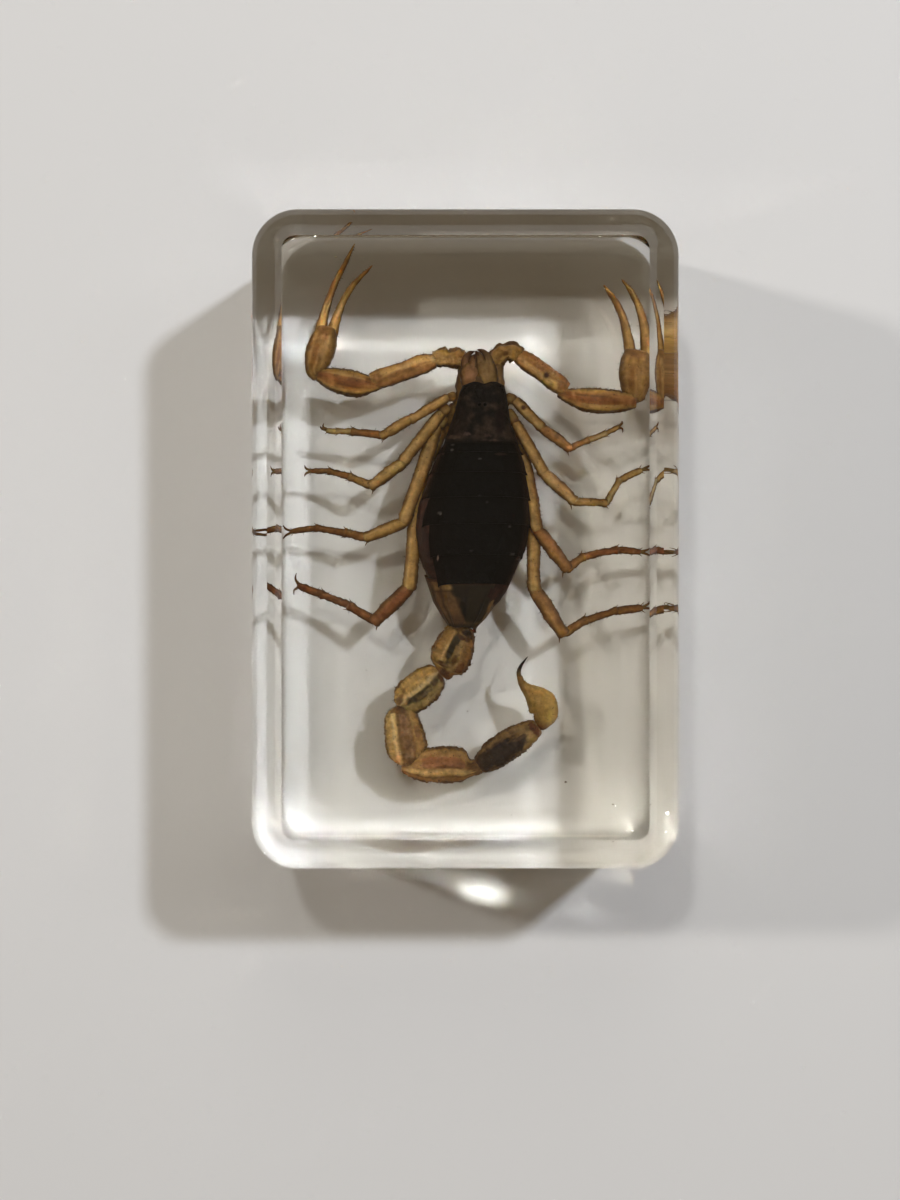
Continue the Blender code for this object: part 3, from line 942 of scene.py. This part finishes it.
def legSegment(hull, kind, start, end, width, hue, seed):
    start, end = Vector(start), Vector(end)
    ahead = (end - start).normalized()
    side = ahead.cross(Vector((0, 0, 1))).normalized()
    start = start - ahead * width * legMake["overlap"][0]
    end = end + ahead * width * legMake["overlap"][1]
    length = (end - start).length
    knots = []
    for along, share in legShape[kind]:
        sway = side * 0.05 * noise.noise(Vector((along * 3, seed, 0.5))) * length ** 0.5
        half = width * share
        knots.append((*(start.lerp(end, along) + sway), half, half * legMake["flatness"]))
    keels = ((34, 0.09 * width, 9), (84, 0.07 * width, 8), (144, 0.09 * width, 9))
    loft(hull, knots, ring=22, steps=max(18, round(length / 0.12)), blunt=(width * 0.4, width * 0.4),
         power=2.5, beads=0.3, keels=keels, grain=0.13 * width ** 0.5, grainScale=3.2,
         jointReach=(0.16, 0.24), jointStrength=0.45, hueAt=streaky(legBands[hue], seed=seed, waver=9))
    if kind == "femur":
        return
    for spread in (-1, 1):  # two spurs at the far end
        root = end - ahead * width * 0.6 + side * spread * width * 0.7
        point = root + (ahead * 1.1 + side * spread * 0.8).normalized() * width * legMake["spur"]
        knots = [(*root, width * 0.18, width * 0.18), (*point, width * 0.04, width * 0.04)]
        spike(hull, knots, (0.45, 0.9), 7, 5, (0.02, 0.02))


def makeLegs():
    sternum = Vector((1.6, 11.2, 6.2))
    for name, leg in legs.items():
        limb = Hull(f"leg_{name}")
        joints = [Vector(joint) for joint in leg["joints"]]
        first = leg["widths"][0]
        inner = sternum.lerp(joints[0], 0.15)
        middle = sternum.lerp(joints[0], 0.7) - Vector((0, 0, 0.3))
        coxa = [(*inner, 0.5, 0.5), (*middle, 0.85, 0.75), (*joints[0], first * 1.35, first * 1.3)]
        loft(limb, coxa, ring=22, steps=20, blunt=(0.3, 0.4), grain=0.08, tone=(0.15, 0.05))
        hip, knee = joints[0], joints[1]
        trochanter = [(*(hip * 1.05 - knee * 0.05), first, first),
                      (*hip.lerp(knee, 0.5), first * 1.2, first * 1.15),
                      (*(knee * 1.05 - hip * 0.05), first * 0.9, first * 0.9)]
        loft(limb, trochanter, ring=20, steps=18, blunt=(0.25, 0.25), grain=0.05, tone=(0.05, 0.0))
        kinds = zip(legShape, joints[1:], joints[2:], leg["widths"], leg["hues"])
        for number, (kind, start, end, width, hue) in enumerate(kinds):
            seed = number * 3.7 + len(name) + joints[0].y
            legSegment(limb, kind, start, end, width * legMake["fullness"], hue, seed)
        foot = joints[-1]
        ahead = (joints[-1] - joints[-2]).normalized()
        for tip in leg["claws"]:
            tip = Vector(tip)
            bend = foot.lerp(tip, 0.55) + ahead * 0.22 + Vector((0, 0, 0.08))
            knots = [(*(foot - ahead * 0.1), 0.15, 0.15), (*bend, 0.10, 0.10), (*tip, 0.025, 0.025)]
            spike(limb, knots, (0.35, 1.0), 10, 12, (0.05, 0.03))
        stain(limb, leg.get("spots", []))
        limb.finish(amberCuticle)
        hairyHulls.append(limb)
    print("legs made")


tailKeels = ((8, 0.09, 8), (40, 0.13, 6), (66, 0.12, 5), (114, 0.12, 5), (140, 0.13, 6), (172, 0.09, 8),
             (220, 0.1, 7), (250, 0.12, 7), (290, 0.12, 7), (320, 0.1, 7))
tail = {  # knots in mm per segment, the colour across its back with painted shade at its edges, and stains as streaky takes them
    "segment_1": dict(
        knots=[(-0.10, -8.5, 7.8, 1.00, 1.0), (-0.35, -9.1, 7.8, 1.35, 1.2), (-0.75, -10.0, 7.9, 1.70, 1.5),
               (-1.22, -11.2, 7.9, 2.00, 1.65), (-1.62, -12.2, 7.8, 1.92, 1.5),
               (-1.95, -12.9, 7.7, 1.45, 1.2), (-2.1, -13.2, 7.7, 1.0, 0.9),
               (-2.45, -13.7, 7.7, 0.85, 0.8)],
        bands=makeBands((0, "#6e4c26"), (5, "#8e6a34"), (14, "#ac8446"), (26, "#b88f4e"), (31, "#dcb472"),
                        (36, "#9c7a42"), (50, "#8c6e3c"), (64, "#a58652"), (78, "#9c7242"), (90, "#a67640"),
                        (97, "#7e5632"), (100, "#5e3e20")),
        patches=((0.47, 0.24, 44, 8, "#26281a"), (0.30, 0.10, 50, 10, "#3a3420"),
                 (0.14, 0.09, 72, 24, "#4c301c"), (0.10, 0.08, 30, 20, "#7a5a32"),
                 (0.24, 0.04, 66, 22, "#5c3c22"), (0.62, 0.09, 62, 8, "#705028"),
                 (0.70, 0.10, 84, 9, "#7c4e2c"), (0.76, 0.05, 30, 16, "#6c4a28"),
                 (0.92, 0.07, 50, 45, "#7c5230"))),
    "segment_2": dict(
        knots=[(-2.5, -13.35, 7.7, 0.85, 0.9), (-2.85, -13.6, 7.7, 1.25, 1.2),
               (-3.55, -14.2, 7.7, 1.62, 1.4), (-4.55, -15.05, 7.8, 1.78, 1.6),
               (-5.55, -15.85, 7.7, 1.72, 1.45), (-6.15, -16.35, 7.7, 1.42, 1.2),
               (-6.4, -16.55, 7.6, 0.95, 0.9), (-6.75, -16.85, 7.6, 0.8, 0.8)],
        bands=makeBands((0, "#7c5a2e"), (5, "#b08a4a"), (12, "#cfa862"), (24, "#c09a58"), (36, "#cba663"),
                        (43, "#e4c88e"), (49, "#d8bc82"), (54, "#a48a52"), (66, "#96804c"), (78, "#ae9458"),
                        (90, "#a98a50"), (96, "#866034"), (100, "#60401f")),
        patches=((0.58, 0.30, 60, 8, "#494028"), (0.50, 0.16, 68, 7, "#5e4c2e"),
                 (0.20, 0.08, 62, 10, "#6a5230"), (0.86, 0.08, 32, 12, "#7e5a34"),
                 (0.93, 0.05, 60, 24, "#6c4a2a"), (0.04, 0.05, 70, 24, "#6e4828"),
                 (0.72, 0.07, 22, 8, "#a07c44"))),
    "segment_3": dict(
        knots=[(-7.05, -16.75, 7.6, 0.85, 0.9), (-6.85, -17.1, 7.6, 1.25, 1.2),
               (-6.55, -17.8, 7.7, 1.62, 1.4), (-6.28, -18.8, 7.7, 1.82, 1.55),
               (-6.05, -19.9, 7.7, 1.96, 1.6), (-5.88, -21.0, 7.6, 1.98, 1.5),
               (-5.85, -21.9, 7.6, 1.75, 1.3), (-5.9, -22.5, 7.6, 1.3, 1.1), (-6.0, -22.9, 7.6, 0.9, 0.9)],
        bands=makeBands((0, "#7a5a2e"), (5, "#ab8a4a"), (11, "#d8b26e"), (18, "#d2ac66"), (26, "#ecd096"),
                        (33, "#d8b674"), (38, "#8e6a3a"), (42, "#7a5632"), (50, "#9c7850"), (62, "#a8835a"),
                        (72, "#936c42"), (79, "#c49c5a"), (88, "#b98e50"), (95, "#a87c42"),
                        (100, "#6e4a26")),
        patches=((0.10, 0.08, 62, 22, "#7a5432"), (0.32, 0.12, 58, 10, "#9a7048"),
                 (0.60, 0.16, 56, 9, "#8e6742"), (0.90, 0.07, 68, 22, "#8a6038"),
                 (0.45, 0.10, 84, 7, "#a0764a"), (0.06, 0.05, 30, 14, "#a07a44"))),
    "segment_4": dict(
        knots=[(-6.45, -22.85, 7.6, 0.60, 0.7), (-5.7, -22.8, 7.6, 1.02, 1.0),
               (-4.5, -22.8, 7.6, 1.45, 1.35), (-3.4, -22.7, 7.7, 1.70, 1.5),
               (-2.1, -22.65, 7.7, 1.78, 1.5), (-0.8, -22.72, 7.6, 1.70, 1.4),
               (0.0, -22.95, 7.6, 1.38, 1.2), (0.4, -23.0, 7.6, 0.92, 0.95), (1.1, -22.95, 7.6, 0.74, 0.8),
               (1.8, -22.8, 7.6, 0.70, 0.7)],
        bands=makeBands((0, "#744e2a"), (6, "#a0703e"), (13, "#a87a46"), (17, "#7c5530"), (22, "#c79c5a"),
                        (29, "#e2ba76"), (37, "#d3aa68"), (43, "#ab8048"), (50, "#b08450"), (66, "#b58a52"),
                        (80, "#b68a50"), (88, "#bd9556"), (95, "#94693a"), (100, "#66452a")),
        patches=((0.50, 0.30, 58, 14, "#bd8052"), (0.40, 0.18, 66, 9, "#b27549"),
                 (0.72, 0.08, 60, 12, "#a87048"), (0.20, 0.08, 62, 16, "#b88a50"),
                 (0.84, 0.06, 62, 20, "#94683e"), (0.93, 0.07, 50, 45, "#8c6640"),
                 (0.60, 0.20, 46, 4, "#8a5c38"))),
    "segment_5": dict(
        knots=[(1.3, -22.85, 7.6, 0.75, 0.8), (1.9, -22.45, 7.6, 1.10, 1.05), (2.8, -21.8, 7.6, 1.38, 1.3),
               (4.2, -20.75, 7.6, 1.46, 1.4), (5.4, -20.02, 7.6, 1.36, 1.3), (6.4, -19.4, 7.6, 1.16, 1.1),
               (6.95, -19.05, 7.6, 0.98, 0.9), (7.45, -18.7, 7.6, 0.72, 0.7)],
        bands=makeBands((0, "#6a4c2e"), (8, "#80603a"), (30, "#957146"), (60, "#8c683e"), (78, "#8a6840"),
                        (90, "#96744a"), (97, "#74532e"), (100, "#54391e")),
        endBands=makeBands((0, "#8a673c"), (12, "#ae8850"), (45, "#c09c66"), (70, "#c6a468"),
                           (90, "#ad854c"), (100, "#7a5830")), endFrom=0.66,
        patches=((0.30, 0.36, 42, 42, "#2a2024"), (0.58, 0.20, 34, 24, "#2c2022"),
                 (0.12, 0.14, 62, 28, "#3c2c24"), (0.70, 0.10, 52, 8, "#5c4432"),
                 (0.93, 0.05, 50, 45, "#7c4a30"))),
}
tailSpots = {  # stains: x, y, radius in mm, strength
    "segment_1": [(0.25, -9.3, 0.32, 0.7), (-2.2, -13.3, 0.30, 0.4)],
    "segment_2": [(-2.9, -13.9, 0.35, 0.45), (-5.6, -16.1, 0.3, 0.5), (-5.0, -16.0, 0.22, 0.5)],
    "segment_3": [(-6.4, -16.9, 0.4, 0.4), (-5.3, -22.2, 0.4, 0.35)],
    "segment_4": [(0.6, -22.6, 0.30, 0.4)],
    "segment_5": [(6.4, -18.9, 0.35, 0.35)],
}


sting = {  # bulb and needle of the last joint, and the bulb's colours from its root
    "hues": ("#8a5630", "#c09a50", "#a47838"),
    "bulb": [(7.42, -19.1, 7.6, 0.45, 0.5), (7.85, -18.3, 7.6, 0.95, 0.9), (8.1, -17.5, 7.6, 1.32, 1.2),
             (7.78, -16.5, 7.6, 1.52, 1.35), (7.15, -15.75, 7.6, 1.18, 1.1), (6.6, -15.25, 7.6, 0.78, 0.75),
             (6.1, -14.8, 7.6, 0.52, 0.52), (5.72, -14.25, 7.6, 0.36, 0.36),
             (5.48, -13.6, 7.6, 0.26, 0.26)],
    "needle": [(5.52, -13.85, 7.6, 0.27, 0.27), (5.47, -13.3, 7.6, 0.22, 0.22),
               (5.62, -12.8, 7.6, 0.18, 0.18), (5.97, -12.25, 7.6, 0.11, 0.11),
               (6.4, -11.7, 7.6, 0.025, 0.025)],
}


def makeTail():
    for name, part in tail.items():
        segment = Hull(f"tail_{name}")
        hueAt = streaky(part["bands"], 0.92, 5, part["knots"][0][0], part.get("endBands"),
                        part.get("endFrom", 0.6), part["patches"], flecks=13)
        loft(segment, part["knots"], ring=96, steps=110, blunt=(0.2, 0.2), power=2.7, keels=tailKeels,
             beads=0.36, grain=0.17, jointReach=(0.4, 0.4), jointStrength=0.55, hueAt=hueAt)
        stain(segment, tailSpots[name])
        segment.finish(tailCuticle)
        hairyHulls.append(segment)
    telson = Hull("tail_telson")

    def bulbHue(place, t):
        root, bulb, neck = (hexVector(code) for code in sting["hues"])
        return (*root.lerp(bulb, ease(t * 4.5)).lerp(neck, ease((t - 0.6) * 3)), 0.85)

    loft(telson, sting["bulb"], ring=48, steps=72, blunt=(0.4, 0.25), power=2.0, grain=0.05,
         keels=((64, 0.02, 12), (116, 0.02, 12)), jointReach=(0.5, 0.1), hueAt=bulbHue)
    for k in range(len(telson.points)):
        telson.paint["ridge"][k] = 1.0
    loft(telson, sting["needle"], ring=20, steps=30, blunt=(0.2, 0.03), grain=0.0, tone=(0.1, 2.2),
         jointStrength=0)
    for k, value in enumerate(telson.paint["tone"]):
        telson.paint["tone"][k] = min(1.0, value)
    telson.finish(tailCuticle)
    hairyHulls.append(telson)
    print("tail made")


bristles = {"perSquareMm": 2.6, "length": 0.30, "thickness": 0.022, "seed": 7}  # mm
pectine = {  # comb under the belly: root, bend and tip of its spine in mm, teeth in mm
    "spine": [(1.0, 7.9, 5.35), (2.6, 7.2, 5.30), (4.1, 6.0, 5.45)],
    "teeth": 20, "length": 0.75, "thickness": 0.12,
}


def newTree(name, sizes):
    # node tree with a geometry input and output and one named input for each size
    tree = bpy.data.node_groups.new(name, "GeometryNodeTree")
    tree.interface.new_socket("Geometry", in_out="INPUT", socket_type="NodeSocketGeometry")
    tree.interface.new_socket("Geometry", in_out="OUTPUT", socket_type="NodeSocketGeometry")
    for size, kind in sizes.items():
        tree.interface.new_socket(size, in_out="INPUT", socket_type=f"NodeSocket{kind}")
    return tree, tree.nodes.new("NodeGroupInput")


def grow(host, name, tree, values, material):
    # runs the tree on a host mesh and keeps the result as a plain mesh
    modifier = host.modifiers.new(name, "NODES")
    modifier.node_group = tree
    for item in tree.interface.items_tree:
        if item.in_out == "INPUT" and item.name in values:
            modifier[item.identifier] = values[item.name]
    evaluated = host.evaluated_get(bpy.context.evaluated_depsgraph_get())
    mesh = bpy.data.meshes.new_from_object(evaluated)
    host.modifiers.clear()
    bpy.data.objects.remove(host)
    mesh.name = name
    mesh.materials.clear()
    mesh.materials.append(material)
    sealPiece(name, mesh)


def endTree(tree, last, material):
    real = addNode(tree, "GeometryNodeRealizeInstances", {"Geometry": last})
    painted = addNode(tree, "GeometryNodeSetMaterial", {"Geometry": (real, 0), "Material": material})
    addNode(tree, "NodeGroupOutput", {0: (painted, 0)})


def makeBristles():
    # stiff short hairs all over the limbs and tail
    inputs = {"PerSquareMetre": "Float", "Length": "Float", "Thickness": "Float", "Seed": "Int"}
    tree, given = newTree("bristleTree", inputs)
    spots = addNode(tree, "GeometryNodeDistributePointsOnFaces",
                    {"Mesh": (given, "Geometry"), "Density": (given, "PerSquareMetre"),
                     "Seed": (given, "Seed")})
    hair = addNode(tree, "GeometryNodeMeshCone",
                   {"Vertices": 5, "Radius Top": 0.001 * mm, "Radius Bottom": (given, "Thickness"),
                    "Depth": (given, "Length")})
    tilt = addNode(tree, "FunctionNodeRandomValue",
                   {0: (-0.7, -0.7, -3.1), 1: (0.7, 0.7, 3.1), "Seed": (given, "Seed")},
                   data_type="FLOAT_VECTOR")
    lean = addNode(tree, "FunctionNodeRotateRotation",
                   {"Rotation": (spots, "Rotation"), "Rotate By": (tilt, 0)}, rotation_space="LOCAL")
    size = addNode(tree, "FunctionNodeRandomValue", {2: 0.45, 3: 1.25, "Seed": 3}, data_type="FLOAT")
    planted = addNode(tree, "GeometryNodeInstanceOnPoints",
                      {"Points": (spots, "Points"), "Instance": (hair, "Mesh"), "Rotation": (lean, 0),
                       "Scale": (size, 1)})
    endTree(tree, (planted, "Instances"), tailCuticle)
    points, faces = [], []
    for hull in hairyHulls:
        first = len(points)
        points += [tuple(c * mm for c in point) for point in hull.points]
        faces += [tuple(first + k for k in face) for face in hull.faces]
    mesh = bpy.data.meshes.new("bristleHost")
    mesh.from_pydata(points, [], faces)
    faceOutwards(mesh)
    sizes = {"PerSquareMetre": bristles["perSquareMm"] / mm ** 2, "Length": bristles["length"] * mm,
             "Thickness": bristles["thickness"] * mm, "Seed": bristles["seed"]}
    grow(placeObject("bristleHost", mesh), "bristles", tree, sizes, tailCuticle)
    print("bristles made")


def makePectines():
    # two combs on the belly behind the last pair of hips
    tree, given = newTree("combTree", {"Teeth": "Int", "Length": "Float", "Thickness": "Float"})
    path = addNode(tree, "GeometryNodeMeshToCurve", {"Mesh": (given, "Geometry")})
    places = addNode(tree, "GeometryNodeCurveToPoints",
                     {"Curve": (path, 0), "Count": (given, "Teeth")}, mode="COUNT")
    tooth = addNode(tree, "GeometryNodeMeshCone",
                    {"Vertices": 8, "Radius Top": 0.05 * mm, "Radius Bottom": (given, "Thickness"),
                     "Depth": (given, "Length")})
    planted = addNode(tree, "GeometryNodeInstanceOnPoints",
                      {"Points": (places, "Points"), "Instance": (tooth, "Mesh"),
                       "Rotation": (math.pi / 2, 0, 0)})
    endTree(tree, (planted, "Instances"), amberCuticle)
    for side in (-1, 1):
        spine = [Vector((1.25 + side * (x - 1.0), y, z)) for x, y, z in pectine["spine"]]
        name = "pectine_left" if side < 0 else "pectine_right"
        rod = Hull(name + "_spine")
        knots = [(*spine[0], 0.35, 0.22), (*spine[1], 0.30, 0.20), (*spine[2], 0.14, 0.12)]
        loft(rod, knots, ring=16, steps=30, keels=((90, 0.04, 14), (270, 0.04, 14)), beads=0.4, grain=0.06)
        rod.finish(amberCuticle)
        path = [throughKnots([tuple(point) for point in spine], k / 24) for k in range(25)]
        mesh = bpy.data.meshes.new("combHost")
        mesh.from_pydata([tuple(c * mm for c in (x, y - 0.15, z)) for x, y, z in path],
                         [(k, k + 1) for k in range(24)], [])
        sizes = {"Teeth": pectine["teeth"], "Length": pectine["length"] * mm,
                 "Thickness": pectine["thickness"] * mm}
        grow(placeObject("combHost", mesh), name + "_teeth", tree, sizes, amberCuticle)
    print("pectines made")


dust = {  # grains sealed in with the specimen: x, y, z and size in mm, then darkness
    "hues": ("#d9d6cc", "#2a1c12"),
    "grains": [(-12.6, 27.4, 16.8, 0.16, 0.0), (-12.2, 27.2, 16.6, 0.10, 0.0),
               (10.3, -24.6, 6.0, 0.14, 1.0), (14.9, -26.6, 9.0, 0.10, 1.0), (0.3, -17.4, 5.0, 0.09, 0.6),
               (-9.8, -13.0, 12.0, 0.07, 0.8), (9.4, 22.3, 11.0, 0.07, 0.8), (-4.2, 26.0, 9.0, 0.06, 0.6),
               (4.6, -27.4, 12.0, 0.06, 0.7)],
}


def makeDust():
    grains = Hull("sealed_dust")
    pale, brown = (hexVector(code) for code in dust["hues"])
    for x, y, z, size, dark in dust["grains"]:
        colour = pale.lerp(brown, dark)
        knots = [(x - size, y, z, size * 0.4, size * 0.3), (x, y + size * 0.4, z, size * 0.6, size * 0.4),
                 (x + size, y + size * 0.1, z, size * 0.3, size * 0.2)]
        loft(grains, knots, ring=10, steps=10, blunt=(size * 0.4, size * 0.4), grain=0.3 * size,
             grainScale=5.0, jointStrength=0, hueAt=lambda place, t: (*colour, 1.0))
    for values in (grains.paint["rim"], grains.paint["joint"]):
        values[:] = [0.0] * len(values)
    grains.finish(amberCuticle)
    print("dust made")


makeTrunk()
makeCarapace()
makeChelicerae()
makePedipalps()
makeLegs()
makeTail()
makeBristles()
makePectines()
makeDust()

studio = {
    "floor": "#d8d6d1", "floorRoughness": 0.6, "floorGleam": 0.2, "floorSize": 2.0, "lampReach": 0.9,  # m
    "axis": (-1.5, -6.0), "height": 172.0, "lens": 63.2,  # mm, over the block, looking straight down
    "air": "#ffe5c4", "airStrength": 0.135,
    "lights": {  # degrees from the zenith, degrees round from +x, size in m, power in W, colour
        "lampRight": (43, 37, 0.06, 4.6, "#eaf1ff"),
        "lampBack": (30, 112, 0.06, 1.45, "#fbfdff"),
        "lampLeft": (58, 162, 0.06, 2.7, "#fffcfb"),
        "softboxBack": (52, 88, 0.40, 1.05, "#fffdf6"),
        "softboxRight": (50, 20, 0.20, 0.4, "#f8fbff"),
    },
}


def makeStudio():
    # matt white card under the block: pale and even, with hardly any gleam
    material, tree = newMaterial("paperFloor")
    shader = addNode(tree, "ShaderNodeBsdfPrincipled",
                     {"Base Color": hexColour(studio["floor"]), "Roughness": studio["floorRoughness"],
                      "Specular IOR Level": studio["floorGleam"]})
    addNode(tree, "ShaderNodeOutputMaterial", {"Surface": (shader, "BSDF")})
    half = studio["floorSize"] / 2
    mesh = bpy.data.meshes.new("floor")
    z = lowCorner[2] - floorGap
    corners = [(-half, -half, z), (half, -half, z), (half, half, z), (-half, half, z)]
    mesh.from_pydata(corners, [], [(0, 1, 2, 3)])
    mesh.materials.append(material)
    floor = placeObject("floor", mesh)
    for name, (fall, around, size, power, colour) in studio["lights"].items():
        fall, around = math.radians(fall), math.radians(around)
        way = Vector((math.sin(fall) * math.cos(around), math.sin(fall) * math.sin(around), math.cos(fall)))
        lamp = bpy.data.lights.new(name, "AREA")
        lamp.shape = "SQUARE"
        lamp.size = size
        lamp.energy = power
        lamp.color = hexColour(colour)[:3]
        holder = placeObject(name, lamp)
        holder.location = way * studio["lampReach"]
        holder.rotation_euler = (-way).to_track_quat("-Z", "Y").to_euler()
    world = bpy.data.worlds.new("studioAir")
    world.use_nodes = True
    air = world.node_tree.nodes["Background"]
    air.inputs["Color"].default_value = hexColour(studio["air"])
    air.inputs["Strength"].default_value = studio["airStrength"]
    scene = bpy.context.scene
    scene.world = world
    scene.view_settings.view_transform = "Standard"
    scene.cycles.sample_clamp_indirect = 0  # the lights must shine through the resin at full strength
    scene.cycles.blur_glossy = 0
    scene.cycles.use_guiding = True  # finds the small lamps through the resin, so the legs cast shadows
    scene.cycles.use_volume_guiding = False
    scene.cycles.surface_guiding_probability = 0.7
    camera = bpy.data.cameras.new("overhead")
    camera.lens = studio["lens"]
    camera.sensor_width = 36
    camera.sensor_fit = "HORIZONTAL"
    camera.clip_start = 0.005
    eye = placeObject("overhead", camera)
    eye.location = (studio["axis"][0] * mm, studio["axis"][1] * mm, studio["height"] * mm)
    scene.camera = eye
    print("studio made")


makeStudio()
